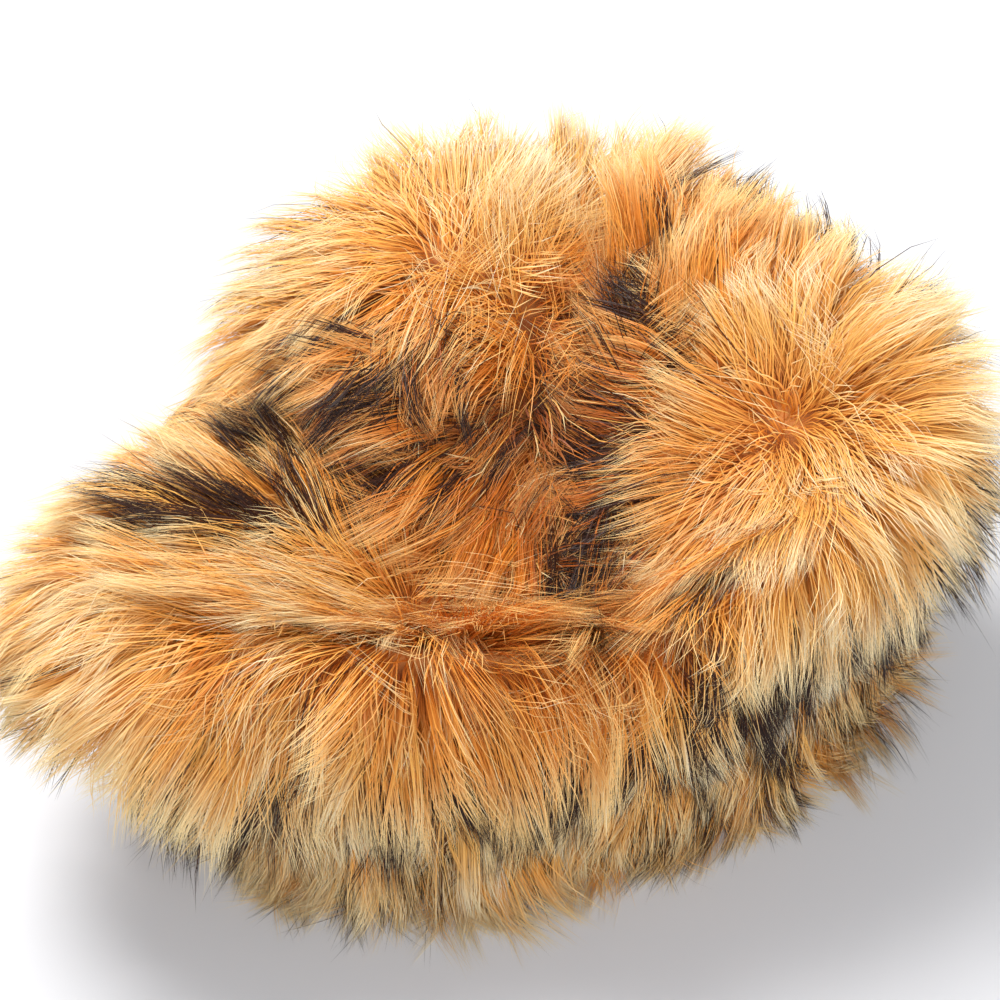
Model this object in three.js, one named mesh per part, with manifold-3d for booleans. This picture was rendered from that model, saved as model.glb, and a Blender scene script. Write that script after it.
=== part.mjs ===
// A soft faux fur hat, lying on its rim as somebody put it down.
// Two pieces of long-pile fur fabric are sewn together: an oval side band that goes round the
// head, and a puffed crown that has slumped into three lobes round one off-centre dent.
// Each piece is a hollow fabric wall with its fur fused on as rows of combed locks.
// Millimetres, +Z up. The origin is the centre of the head opening, on the floor.
// Bearings are degrees, anticlockwise from +X seen from above. The front of the hat faces -Y.

import * as THREE from "three";
import { LoftGeometry } from "three/addons/geometries/LoftGeometry.js";
import { mergeVertices } from "three/addons/utils/BufferGeometryUtils.js";
import Module from "manifold-3d";

const wasm = await Module();
wasm.setup();

// Driving dimensions
const openingLength = 202; // head opening inside the band, along its long axis
const openingWidth = 156; // and across it
const openingTurn = 10; // degrees from +X to the long axis
const wall = 3; // knitted backing with the dense foot of the pile
const seamHeight = 64; // floor to the seam between band and crown
const crownHeight = 112; // floor to the top of the highest lobe, fabric only
const dentHeight = 60; // floor to the bottom of the dent, fabric only
const dentAcross = 22; // the dent's centre, towards +X
const dentBack = -38; // and towards +Y
const furLength = 52; // longest combed lock
const lockWidth = 34; // a full lock at its root
const lockThickness = 16; // and through it
const seamGap = 0.3; // clearance between the two pieces

// The crown's plan and top, a row for each bearing.
// reach: how far the fabric puffs out, as a share of the band's wall there.
// height: its crest, as a share of crownHeight.
const slices = [
  { bearing: 0, reach: 1.18, height: 0.96 },
  { bearing: 30, reach: 1.05, height: 0.98 },
  { bearing: 60, reach: 1.07, height: 0.98 },
  { bearing: 90, reach: 1.11, height: 1.01 },
  { bearing: 120, reach: 1.03, height: 1.0 },
  { bearing: 150, reach: 0.84, height: 0.95 },
  { bearing: 180, reach: 0.84, height: 0.86 },
  { bearing: 210, reach: 1.40, height: 0.88 },
  { bearing: 240, reach: 1.15, height: 0.86 },
  { bearing: 270, reach: 1.0, height: 0.8 },
  { bearing: 300, reach: 1.0, height: 0.8 },
  { bearing: 330, reach: 1.06, height: 0.9 },
];

// The creases that run out from the dent between the lobes.
// spread: half width in degrees. depth: share of the crest height that it takes away.
const creases = [
  { name: "back", bearing: 76, spread: 15, depth: 0.15 },
  { name: "left", bearing: 172, spread: 17, depth: 0.12 },
  { name: "front", bearing: 285, spread: 22, depth: 0.04 },
];

// The crown's profile, a ring for each row, from the seam over the crest and down the dent.
// puff: how far the ring has left the band's oval for the crown's own plan. reach: its share of
// that plan. drift: share of the way to the dent. rise: share of the climb from the seam to the
// crest. fall: share of the drop into the dent. crease: how much of the creases' depth it takes.
const crownRings = [
  { name: "seam", puff: 0, reach: 1, drift: 0, rise: 0, fall: 0, crease: 0 },
  { name: "swell", puff: 0.6, reach: 1, drift: 0, rise: 0.2, fall: 0, crease: 0 },
  { name: "widest", puff: 1, reach: 1, drift: 0, rise: 0.46, fall: 0, crease: 0.1 },
  { name: "shoulder", puff: 1, reach: 0.92, drift: 0.1, rise: 0.86, fall: 0, crease: 0.3 },
  { name: "crest", puff: 1, reach: 0.72, drift: 0.4, rise: 1, fall: 0, crease: 1 },
  { name: "slope", puff: 1, reach: 0.44, drift: 0.75, rise: 1, fall: 0.38, crease: 1.3 },
  { name: "well", puff: 1, reach: 0.17, drift: 0.97, rise: 1, fall: 0.88, crease: 1 },
  { name: "bottom", puff: 1, reach: 0, drift: 1, rise: 1, fall: 1, crease: 0 },
];

// The points that the pile parts round, one on top of each lobe, as shares of the opening.
const whorls = [
  { name: "back lobe", across: 0.01, back: 0.52 },
  { name: "right lobe", across: 0.84, back: 0.02 },
  { name: "left lobe", across: -0.42, back: -0.76 },
];

// Rows of locks. at: place up the piece's profile, 0 to 1. count: locks in the row.
// length, width: shares of furLength and lockWidth. lift: how steeply they leave the fabric.
const bandRows = [
  { at: 0.34, count: 22, length: 0.95, width: 0.9, lift: 1 },
  { at: 0.8, count: 21, length: 1.0, width: 0.95, lift: 0.8 },
];
const crownRows = [
  { at: 0.1, count: 22, length: 0.85, width: 0.95, lift: 0.62 },
  { at: 0.27, count: 22, length: 0.95, width: 0.95, lift: 0.68 },
  { at: 0.42, count: 20, length: 0.95, width: 1.0, lift: 0.7 },
  { at: 0.55, count: 16, length: 0.9, width: 1.0, lift: 0.7 },
  { at: 0.7, count: 10, length: 0.7, width: 0.95, lift: 0.6 },
  { at: 0.83, count: 6, length: 0.5, width: 0.85, lift: 0.55 },
];
// A lock's own shape from root to tip: where each section is, how wide and how thick.
const lockSections = [
  { along: -0.15, width: 0.75, thickness: 0.3 },
  { along: 0.38, width: 1.0, thickness: 1.0 },
  { along: 0.75, width: 0.6, thickness: 0.6 },
  { along: 1.0, width: 0, thickness: 0 },
];

// The surface between the band's fur and the crown's, which hangs outside it.
// out: share of furLength outside the wall. down: share of seamHeight below the seam.
const skirtRings = [
  { out: 1.6, down: 1 },
  { out: 0.86, down: 0.62 },
  { out: 0.42, down: 0.28 },
  { out: 0.1, down: 0.08 },
  { out: 0.02, down: 0 },
];

// How the pile lies
const whorlEye = 12; // how wide the parting at a whorl is
const whorlPull = 1.1; // how strongly the pile leans away from a whorl, against its weight
const lockCurl = 0.3; // how much of its lift a lock has lost at its tip
const lockDroop = 0.45; // how far its weight bends it down by its tip
const lockSway = 0.2; // how far it may lean to either side by its tip
const lockScatter = 0.18; // how far it may stand from its even place, of a place's width
const lockVariety = 0.14; // how much longer or shorter than its row it may be

// How finely the fabric is faceted
const bearings = 32; // facets round
const crownLevels = 12; // facets up the crown
const levelStep = 1e-3; // for the surface's own directions
const bearingStep = 0.5; // and degrees
const overcut = 8; // how far a cut runs past what it cuts
const finest = 0.15; // smaller details than this are merged away

const degrees = Math.PI / 180;
const up = new THREE.Vector3(0, 0, 1);

// Values

// The table's columns at any bearing, on a smooth closed curve through its rows.
const sliceCurve = new THREE.CatmullRomCurve3(
  slices.map((row) => new THREE.Vector3(row.reach, row.height, 0)),
  true,
  "catmullrom",
  0.5,
);

// A smooth bump that is 1 at a crease's bearing and fades over its spread.
function creaseAt(crease, bearing) {
  const turn = ((bearing - crease.bearing + 540) % 360) - 180;
  return Math.exp(-((turn / crease.spread) ** 2));
}

// How far the band's outer wall is from the origin: an oval, turned a little.
function bandReach(bearing) {
  const angle = (bearing - openingTurn) * degrees;
  const long = openingLength / 2 + wall;
  const short = openingWidth / 2 + wall;
  return (long * short) / Math.hypot(short * Math.cos(angle), long * Math.sin(angle));
}

function crownSlice(bearing) {
  const columns = sliceCurve.getPoint((((bearing % 360) + 360) % 360) / 360);
  const taken = creases.reduce((sum, crease) => sum + crease.depth * creaseAt(crease, bearing), 0);
  return { reach: columns.x * bandReach(bearing), crest: crownHeight * columns.y, taken };
}

// Surfaces

// A point on the outside of the band's wall. level runs from 0 at the rim to 1 at the seam.
function bandSurface(level, bearing) {
  const reach = bandReach(bearing);
  const angle = bearing * degrees;
  return new THREE.Vector3(
    reach * Math.cos(angle),
    reach * Math.sin(angle),
    level * (seamHeight - seamGap / 2),
  );
}

// A point on one ring of the crown's table.
function ringPoint(ring, bearing) {
  const { reach, crest, taken } = crownSlice(bearing);
  const seam = bandReach(bearing);
  const out = ring.reach * (seam + ring.puff * (reach - seam));
  const top = crest * (1 - ring.crease * taken);
  const climb = seamHeight + ring.rise * (top - seamHeight);
  const angle = bearing * degrees;
  return new THREE.Vector3(
    ring.drift * dentAcross + out * Math.cos(angle),
    ring.drift * dentBack + out * Math.sin(angle),
    climb + ring.fall * (dentHeight - top),
  );
}

// A point on the outside of the crown. level runs from 0 at the seam to 1 in the dent.
function crownSurface(level, bearing) {
  const profile = new THREE.CatmullRomCurve3(
    crownRings.map((ring) => ringPoint(ring, bearing)),
    false,
    "catmullrom",
    0.5,
  );
  return profile.getPoint(level);
}

// The way that a surface faces, outwards.
function facing(surface, level, bearing) {
  const low = Math.max(level - levelStep, 0);
  const high = Math.min(level + levelStep, 1);
  const climb = surface(high, bearing).sub(surface(low, bearing));
  const round = surface(level, bearing + bearingStep).sub(surface(level, bearing - bearingStep));
  return round.cross(climb).normalize();
}

// One closed ring of points on a surface, moved in by a depth along the way it faces.
function ringOn(surface, level, depth = 0) {
  return Array.from({ length: bearings }, (_, i) => {
    const bearing = (360 / bearings) * i;
    const point = surface(level, bearing);
    return point.addScaledVector(facing(surface, level, bearing), -depth);
  });
}

// The same ring at another height.
function ringAtHeight(ring, height) {
  return ring.map((point) => new THREE.Vector3(point.x, point.y, height));
}

// Fur

// How the pile lies at a point: downhill, and away from the nearest whorl, along the fabric.
function combed(point, normal) {
  const away = new THREE.Vector3();
  for (const whorl of whorls) {
    const across = point.x - (whorl.across * openingLength) / 2;
    const back = point.y - (whorl.back * openingWidth) / 2;
    const near = 1 / (across * across + back * back + whorlEye ** 2) ** 1.5;
    away.x += across * near;
    away.y += back * near;
  }
  if (away.lengthSq() > 0) away.normalize();
  const lie = away.multiplyScalar(whorlPull * Math.max(normal.z, 0)).sub(up);
  return lie.addScaledVector(normal, -lie.dot(normal)).normalize();
}

// A little unevenness that repeats for the same lock each time, from -1 to 1.
function uneven(index, row) {
  return Math.sin(index * 2.4 + row * 1.7) * 0.6 + Math.sin(index * 5.1 + row * 3.3) * 0.4;
}

// One lock: a flattened, tapering strand that leaves the fabric steeply and droops to its tip.
function lockOn(surface, row, index, rowIndex) {
  const stagger = rowIndex % 2 ? 0.5 : 0;
  const place = index + stagger + lockScatter * uneven(index, rowIndex);
  const bearing = (360 / row.count) * place;
  const root = surface(row.at, bearing);
  const normal = facing(surface, row.at, bearing);
  const lie = combed(root, normal);
  const side = new THREE.Vector3().crossVectors(normal, lie);
  const length = furLength * row.length * (1 + lockVariety * uneven(index + 3, rowIndex));
  const width = lockWidth * row.width;

  const sections = lockSections.map((section) => {
    const bend = Math.max(section.along, 0);
    const lift = row.lift * (1 - lockCurl * bend);
    const way = new THREE.Vector3()
      .addScaledVector(normal, lift)
      .addScaledVector(lie, Math.sqrt(Math.max(1 - lift * lift, 0)))
      .addScaledVector(side, lockSway * bend * uneven(index + 7, rowIndex))
      .addScaledVector(up, -lockDroop * bend)
      .normalize();
    const centre = root.clone().addScaledVector(way, length * section.along);
    const over = new THREE.Vector3().crossVectors(way, side).normalize();
    const halfWidth = (width * section.width) / 2;
    const halfThickness = (lockThickness * section.thickness) / 2;
    centre.z = Math.max(centre.z, (halfThickness + lockThickness / 2) / 2); // lies on the floor
    return [
      centre.clone().addScaledVector(side, halfWidth),
      centre.clone().addScaledVector(over, halfThickness),
      centre.clone().addScaledVector(side, -halfWidth),
      centre.clone().addScaledVector(over, -halfThickness),
    ];
  });
  return pointedLoft(sections);
}

function locksOn(surface, rows) {
  return rows.flatMap((row, rowIndex) =>
    Array.from({ length: row.count }, (_, index) => lockOn(surface, row, index, rowIndex)),
  );
}

// Solids

function solidOf(geometry) {
  const bare = new THREE.BufferGeometry();
  bare.setAttribute("position", geometry.getAttribute("position"));
  bare.setIndex(geometry.index);
  const merged = mergeVertices(bare, 1e-4);
  const corners = [];
  for (let i = 0; i < merged.index.count; i += 3) {
    const triangle = [0, 1, 2].map((k) => merged.index.getX(i + k));
    if (new Set(triangle).size === 3) corners.push(...triangle);
  }
  return new wasm.Manifold(
    new wasm.Mesh({
      numProp: 3,
      vertProperties: merged.getAttribute("position").array,
      triVerts: new Uint32Array(corners),
    }),
  );
}

function loft(sections) {
  return solidOf(new LoftGeometry(sections, { capStart: true, capEnd: true }));
}

// A loft whose last section has shrunk to a single point.
function pointedLoft(sections) {
  return solidOf(new LoftGeometry(sections, { capStart: true }));
}

// Everything inside the band's wall, and inside its hollow when depth is the wall's.
function bandFilled(depth) {
  const ring = ringOn(bandSurface, 0.5, depth);
  return loft([ringAtHeight(ring, -overcut), ringAtHeight(ring, seamHeight + overcut)]);
}

// Everything under the crown's fabric, and under its hollow when depth is the wall's.
function crownFilled(depth) {
  const rings = Array.from({ length: crownLevels }, (_, i) =>
    ringOn(crownSurface, i / crownLevels, depth),
  );
  const bottom = new THREE.Vector3(dentAcross, dentBack, dentHeight - depth);
  return pointedLoft([
    ringAtHeight(rings[0], Math.min(seamHeight, dentHeight - wall) - overcut),
    ...rings,
    rings[0].map(() => bottom),
  ]);
}

// What lies below and inside the crown's overhang, where the band and its fur may be.
function underSkirt(clearance) {
  const rings = skirtRings.map((row) =>
    Array.from({ length: bearings }, (_, i) => {
      const bearing = (360 / bearings) * i;
      const reach = bandReach(bearing) + row.out * furLength - clearance;
      const height = Math.max(seamHeight * (1 - row.down) - clearance, 0);
      const angle = bearing * degrees;
      return new THREE.Vector3(reach * Math.cos(angle), reach * Math.sin(angle), height);
    }),
  );
  return loft(rings);
}

// The band's share of the crown's space. It is cut a little inside the band's wall, so that no
// sliver of the crown's wall is left below the seam.
function belowCrown() {
  return underSkirt(0).subtract(bandFilled(2 * wall));
}

// The largest closed surface alone, without lock tips that a cut has set loose and without
// the skins of pockets sealed between locks, which fill them.
function largestBody(solid) {
  return solid
    .decompose()
    .reduce((largest, body) => (body.volume() > largest.volume() ? body : largest));
}

// Merging the finest details away may pinch off more of them.
function mainBody(solid) {
  return largestBody(largestBody(solid).simplify(finest));
}

function meshOf(solid, name, material) {
  const mesh = solid.getMesh();
  const geometry = new THREE.BufferGeometry();
  geometry.setAttribute("position", new THREE.BufferAttribute(mesh.vertProperties, 3));
  geometry.setIndex(new THREE.BufferAttribute(mesh.triVerts, 1));
  geometry.computeVertexNormals();
  const made = new THREE.Mesh(geometry, material);
  made.name = name;
  return made;
}

// Assembly

const crownLocks = locksOn(crownSurface, crownRows);
const crownSolid = wasm.Manifold.union([crownFilled(0), ...crownLocks])
  .subtract(crownFilled(wall))
  .subtract(belowCrown());
const bandLocks = locksOn(bandSurface, bandRows);
const bandSolid = wasm.Manifold.union([bandFilled(0), ...bandLocks])
  .subtract(bandFilled(wall))
  .intersect(underSkirt(seamGap));

const goldenFur = new THREE.MeshStandardMaterial({ color: 0xe39a4f, roughness: 0.9 });
const tawnyFur = new THREE.MeshStandardMaterial({ color: 0xc98545, roughness: 0.9 });

const hat = new THREE.Group();
hat.add(meshOf(mainBody(crownSolid), "crown", goldenFur));
hat.add(meshOf(mainBody(bandSolid), "side_band", tawnyFur));

export default hat;
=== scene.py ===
# %% [markdown]
# # A faux fur hat, made in Blender
#
# The hat is two sewn pieces of long-pile fur fabric: a side band that goes round the head, and a
# puffed crown that has slumped into three lobes round a dent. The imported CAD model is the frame.
# It has the hat's size, its hollow and its main form, and this script gives it its looks: the
# knitted backing, and a pile of loose hairs with dark-tipped stripes.
#
# Sizes are in millimetres, and become metres where a mesh is made. Bearings are degrees,
# anticlockwise from +X as seen from above. The front of the hat faces -Y.

import math

import bpy
import numpy as np
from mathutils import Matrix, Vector, kdtree


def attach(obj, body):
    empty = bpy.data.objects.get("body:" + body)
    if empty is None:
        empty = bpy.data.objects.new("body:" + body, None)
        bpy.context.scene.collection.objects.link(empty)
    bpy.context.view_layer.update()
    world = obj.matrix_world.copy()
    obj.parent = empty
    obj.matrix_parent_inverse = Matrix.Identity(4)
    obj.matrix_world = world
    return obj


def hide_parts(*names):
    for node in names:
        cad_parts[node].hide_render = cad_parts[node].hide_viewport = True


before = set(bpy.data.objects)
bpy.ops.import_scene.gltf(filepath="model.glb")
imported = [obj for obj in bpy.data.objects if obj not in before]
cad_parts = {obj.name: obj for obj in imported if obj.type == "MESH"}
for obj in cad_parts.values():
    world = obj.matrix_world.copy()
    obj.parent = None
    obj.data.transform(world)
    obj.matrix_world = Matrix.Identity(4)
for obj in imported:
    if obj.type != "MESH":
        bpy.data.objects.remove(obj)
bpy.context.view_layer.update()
MM = 0.001

# %% [markdown]
# ## Camera
#
# The photograph looks down at the front of the hat, from about an arm's length and a half. A long
# lens from further off gives nearly the same view with little distortion. The camera aims a
# little above and behind the middle of the head opening, because the hat stands up from there.

# %% Place the camera
CAMERA_ELEVATION = 51.0
CAMERA_DISTANCE = 1100.0
VIEW_WIDTH = 300.0
VIEW_CENTRE_ABOVE_ORIGIN = 39.0
SENSOR_WIDTH = 36.0
NEAREST_SEEN = 50.0


def place_camera():
    """A camera that looks along +Y and down, and sees VIEW_WIDTH at the hat's middle."""
    elevation = math.radians(CAMERA_ELEVATION)
    back = Vector((0.0, -math.cos(elevation), math.sin(elevation)))
    upward = Vector((0.0, math.sin(elevation), math.cos(elevation)))
    camera = bpy.data.objects.new("camera", bpy.data.cameras.new("camera"))
    bpy.context.scene.collection.objects.link(camera)
    camera.location = (upward * VIEW_CENTRE_ABOVE_ORIGIN + back * CAMERA_DISTANCE) * MM
    camera.rotation_mode = "QUATERNION"
    camera.rotation_quaternion = (-back).to_track_quat("-Z", "Y")
    camera.data.sensor_width = SENSOR_WIDTH
    camera.data.lens = SENSOR_WIDTH * CAMERA_DISTANCE / VIEW_WIDTH
    camera.data.clip_start = NEAREST_SEEN * MM
    bpy.context.scene.camera = camera
    return camera


camera = place_camera()
print("lens, mm:", round(camera.data.lens, 1))

# %% [markdown]
# ## The fabric under the fur
#
# Fur follows the cloth that it grows from, so the cloth's shape comes first. It could be draped
# by a cloth simulation, but fur hides all of it from outside, and the CAD model already has the
# slumped shape. So the same tables are used here: an oval band, and a crown whose profile is a
# spline through eight rings.

# %% Sizes of the fabric
OPENING_LENGTH = 202.0
OPENING_WIDTH = 156.0
OPENING_TURN = 10.0
WALL = 3.0
SEAM_HEIGHT = 64.0
CROWN_HEIGHT = 112.0
DENT = np.array([22.0, -38.0, 60.0])

# A row each 30 degrees: how far the crown puffs out, as a share of the band's wall, and the
# height of its crest, as a share of CROWN_HEIGHT.
SLICES = [
    (1.18, 0.96),
    (1.05, 0.98),
    (1.07, 0.98),
    (1.11, 1.01),
    (1.03, 1.00),
    (0.84, 0.95),
    (0.84, 0.86),
    (1.40, 0.88),
    (1.15, 0.86),
    (1.00, 0.80),
    (1.00, 0.80),
    (1.06, 0.90),
]
# Bearing, half width in degrees and depth as a share of the crest's height.
CREASES = [(76.0, 15.0, 0.15), (172.0, 17.0, 0.12), (285.0, 22.0, 0.04)]
# Puff, reach, drift, rise, fall and crease of each ring from the seam to the bottom of the dent.
CROWN_RINGS = [
    (0.0, 1.00, 0.00, 0.00, 0.00, 0.0),
    (0.6, 1.00, 0.00, 0.20, 0.00, 0.0),
    (1.0, 1.00, 0.00, 0.46, 0.00, 0.1),
    (1.0, 0.92, 0.10, 0.86, 0.00, 0.3),
    (1.0, 0.72, 0.40, 1.00, 0.00, 1.0),
    (1.0, 0.44, 0.75, 1.00, 0.38, 1.3),
    (1.0, 0.17, 0.97, 1.00, 0.88, 1.0),
    (1.0, 0.00, 1.00, 1.00, 1.00, 0.0),
]
print("crown of", len(SLICES), "slices,", len(CREASES), "creases and", len(CROWN_RINGS), "rings")

# %% [markdown]
# Soft cloth has no corners between the rows of a table. A cubic spline that passes through every
# row is smooth, and keeps each number in the tables a real size on the hat. One spline closes
# round the hat, and the other runs from the seam to the bottom of the dent.

# %% Splines through the rows of a table


def spline_weights(step):
    """The shares of four neighbouring rows, a fraction of the way from the second to the third."""
    one, two, three = step, step**2, step**3
    return (
        (-one + 2 * two - three) / 2,
        (2 - 5 * two + 3 * three) / 2,
        (one + 4 * two - 3 * three) / 2,
        (three - two) / 2,
    )


def closed_spline(rows, turns):
    """The table's columns at any share of a full turn, on a smooth closed curve."""
    rows = np.asarray(rows, float)
    place = np.mod(turns, 1.0) * len(rows)
    first = np.floor(place).astype(int)
    shares = spline_weights(place - first)
    return sum(
        share[:, None] * rows[(first + offset) % len(rows)]
        for share, offset in zip(shares, (-1, 0, 1, 2))
    )


def open_spline(points, levels):
    """Each row's own curve through its points, at a level from 0 to 1 along it."""
    before = 2 * points[:, :1] - points[:, 1:2]
    after = 2 * points[:, -1:] - points[:, -2:-1]
    padded = np.concatenate([before, points, after], axis=1)
    spans = points.shape[1] - 1
    place = np.clip(levels, 0, 1) * spans
    first = np.minimum(np.floor(place).astype(int), spans - 1)
    rows = np.arange(len(points))
    shares = spline_weights(place - first)
    return sum(
        share[:, None] * padded[rows, first + offset]
        for offset, share in enumerate(shares)
    )


# %% [markdown]
# The whole cloth is a function of two numbers: the level up its profile, from 0 to 1, and the
# bearing round it. A mesh would do as well, but with a function a hair can be rooted anywhere,
# and the cloth's facing there comes from two small steps along it.

# %% The fabric's surfaces


def band_reach(bearing):
    """How far the band's outer wall is from the origin."""
    angle = np.radians(bearing - OPENING_TURN)
    long = OPENING_LENGTH / 2 + WALL
    short = OPENING_WIDTH / 2 + WALL
    return long * short / np.hypot(short * np.cos(angle), long * np.sin(angle))


def band_surface(level, bearing):
    """Points on the outside of the side band."""
    reach, angle = band_reach(bearing), np.radians(bearing)
    return np.stack([reach * np.cos(angle), reach * np.sin(angle), level * SEAM_HEIGHT], -1)


def crown_surface(level, bearing):
    """Points on the outside of the crown, from the seam to the bottom of the dent."""
    level, bearing = np.broadcast_arrays(level, bearing)
    columns = closed_spline(SLICES, bearing / 360.0)
    crest = CROWN_HEIGHT * columns[:, 1]
    taken = np.zeros(len(bearing))
    for place, spread, depth in CREASES:
        turn = np.mod(bearing - place + 180.0, 360.0) - 180.0
        taken += depth * np.exp(-((turn / spread) ** 2))
    seam = band_reach(bearing)
    angle = np.radians(bearing)
    rings = []
    for puff, reach, drift, rise, fall, crease in CROWN_RINGS:
        out = reach * (seam + puff * (columns[:, 0] * seam - seam))
        top = crest * (1 - crease * taken)
        along_x = drift * DENT[0] + out * np.cos(angle)
        along_y = drift * DENT[1] + out * np.sin(angle)
        climb = SEAM_HEIGHT + rise * (top - SEAM_HEIGHT)
        rings.append(np.stack([along_x, along_y, climb + fall * (DENT[2] - top)], -1))
    return open_spline(np.stack(rings, 1), level)


WIDEST_RING = 2
widest = crown_surface(np.full(360, WIDEST_RING / (len(CROWN_RINGS) - 1)), np.arange(360.0))
print("crown's fabric, mm across:", np.ptp(widest[:, :2], axis=0).round(1))

# %% The way that the cloth faces
LEVEL_STEP = 2e-3
BEARING_STEP = 0.5
# How far up the cloth faces where hairs start to lie on it, and until they all do.
LIES_FROM, LIES_FADE = 0.35, 0.4


def unit(vectors):
    """The same directions, all one long."""
    return vectors / np.maximum(np.linalg.norm(vectors, axis=-1, keepdims=True), 1e-9)


def facing(surface, level, bearing):
    """The way that a surface faces, outwards."""
    higher = surface(np.minimum(level + LEVEL_STEP, 1), bearing)
    climb = higher - surface(np.maximum(level - LEVEL_STEP, 0), bearing)
    sideways = surface(level, bearing + BEARING_STEP) - surface(level, bearing - BEARING_STEP)
    return unit(np.cross(sideways, climb))


def flatness(normals):
    """From 0 where the cloth is steep to 1 where it is nearly level, and hairs lie on it."""
    return np.clip((normals[:, 2] - LIES_FROM) / LIES_FADE, 0, 1)


# %% [markdown]
# ## How the pile lies
#
# Long pile parts along a line on top of each lobe, where it stands up and its darker roots show.
# From there it leans outwards and downhill. The back lobe's parting runs on along the edge of the
# valley, so that everything to its left streams left.
#
# Combing hair curves by hand is the usual way. Here each parting is a short run of points in plan,
# and a hair leans away from the nearest place on each, the nearer the stronger. In three places
# the fur has also been brushed over an edge by handling, which adds a push of its own.

# %% Partings and brushed places
PARTINGS = [
    [(-12.0, 46.0), (-2.0, 42.0), (8.0, 26.0), (11.0, 6.0)],
    [(72.0, -12.0), (79.0, -8.0)],
    [(-10.0, -54.0), (-22.0, -52.0)],
]
PARTING_EYE = 6.0
PARTING_PULL = 2.3
# The place, the way, how far the brushing reaches and how strong it is.
BRUSHED = [
    ((20.0, -58.0), (-0.1, -1.0), 24.0, 3.0),
    ((58.0, -36.0), (-0.4, -0.9), 17.0, 2.4),
    ((38.0, -10.0), (-1.0, -0.35), 13.0, 3.0),
]
print(len(PARTINGS), "partings and", len(BRUSHED), "brushed places")

# %% Comb the pile


def offset_from(points, start, end):
    """The offset of each point, in plan, from the nearest place on a straight stretch."""
    start, end = np.array(start), np.array(end)
    along = end - start
    share = np.clip((points[:, :2] - start) @ along / (along @ along), 0, 1)
    return points[:, :2] - (start + share[:, None] * along)


def away_from_partings(points):
    """The way that the partings push each point, in plan, and how far off the nearest one is."""
    away = np.zeros((len(points), 2))
    distance = np.full(len(points), 1e3)
    for parting in PARTINGS:
        closest = np.full(len(points), 1e3)
        offset = np.zeros((len(points), 2))
        for start, end in zip(parting[:-1], parting[1:]):
            candidate = offset_from(points, start, end)
            span = np.linalg.norm(candidate, axis=1)
            offset = np.where((span < closest)[:, None], candidate, offset)
            closest = np.minimum(closest, span)
        away += offset * ((closest**2 + PARTING_EYE**2) ** -1.5)[:, None]
        distance = np.minimum(distance, closest)
    return unit(away), distance


def combed(points, normals):
    """Unit directions along the fabric in which the pile leans, and how settled they are."""
    away, distance = away_from_partings(points)
    settled = distance / np.hypot(distance, PARTING_EYE)
    pull = PARTING_PULL * np.maximum(normals[:, 2], 0)
    lie = np.concatenate([away * pull[:, None], -np.ones((len(points), 1))], axis=1)
    for place, way, reach, strength in BRUSHED:
        span = np.linalg.norm(points[:, :2] - np.array(place), axis=1)
        lie[:, :2] += np.array(way) * (strength * np.exp(-((span / reach) ** 2)))[:, None]
    lie -= normals * (lie * normals).sum(1, keepdims=True)
    return unit(lie), settled


# %% [markdown]
# ## Rooting the hairs
#
# A knitting machine sets the pile evenly in the cloth. Even steps of level and bearing would crowd
# the roots in the dent, so each patch of the surface is drawn by its area, and the root falls
# anywhere in its patch. The seed is fixed, so every run grows the same hat.

# %% Scatter the roots
SEED = 20
LEVEL_PATCHES = 120
BEARING_PATCHES = 240
rng = np.random.default_rng(SEED)


def scatter(surface, count, low, high):
    """Levels and bearings of count roots, spread evenly over the surface between two levels."""
    levels = np.linspace(low, high, LEVEL_PATCHES + 1)
    bearings = np.linspace(0, 360, BEARING_PATCHES + 1)
    grid_levels, grid_bearings = np.meshgrid(levels, bearings, indexing="ij")
    points = surface(grid_levels.ravel(), grid_bearings.ravel())
    points = points.reshape(LEVEL_PATCHES + 1, BEARING_PATCHES + 1, 3)
    across = points[1:, :-1] - points[:-1, :-1]
    along = points[:-1, 1:] - points[:-1, :-1]
    area = np.linalg.norm(np.cross(across, along), axis=-1)
    patches = rng.choice(area.size, size=count, p=area.ravel() / area.sum())
    row, column = np.divmod(patches, BEARING_PATCHES)
    level = low + (high - low) * (row + rng.random(count)) / LEVEL_PATCHES
    bearing = 360 * (column + rng.random(count)) / BEARING_PATCHES
    return level, bearing, area.sum()


# %% [markdown]
# ## Keeping hairs off the cloth and the floor
#
# A hair that bends over a lobe meets the fur on the far side of the crease, and the lowest hairs
# meet the floor. Hair dynamics would find this out by simulation. Pushing each point out of a
# height map of the crown, out of the band's oval and up from the floor gives the same result in a
# second, and the same one every time.

# %% Height map of the crown
MAP_CELL = 2.0
MAP_REACH = 180.0
MAP_LOWEST_LEVEL = 0.3
MAP_LEVELS, MAP_BEARINGS = 200, 720
NOTHING_THERE = -1e3
map_side = int(2 * MAP_REACH / MAP_CELL)


def crown_height_map():
    """The crown's highest point over each cell of the plan."""
    levels, bearings = np.meshgrid(
        np.linspace(MAP_LOWEST_LEVEL, 1, MAP_LEVELS),
        np.linspace(0, 360, MAP_BEARINGS, endpoint=False),
    )
    points = crown_surface(levels.ravel(), bearings.ravel())
    cells = ((points[:, :2] + MAP_REACH) / MAP_CELL).astype(int)
    heights = np.full((map_side, map_side), NOTHING_THERE)
    np.maximum.at(heights, (cells[:, 0], cells[:, 1]), points[:, 2])
    return heights


heights = crown_height_map()


def crown_top(points):
    """The fabric's height under each point, or far below where there is none."""
    cells = np.clip(((points[..., :2] + MAP_REACH) / MAP_CELL).astype(int), 0, map_side - 1)
    return heights[cells[..., 0], cells[..., 1]]


print("crown's fabric, mm high:", round(heights.max(), 1))

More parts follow.
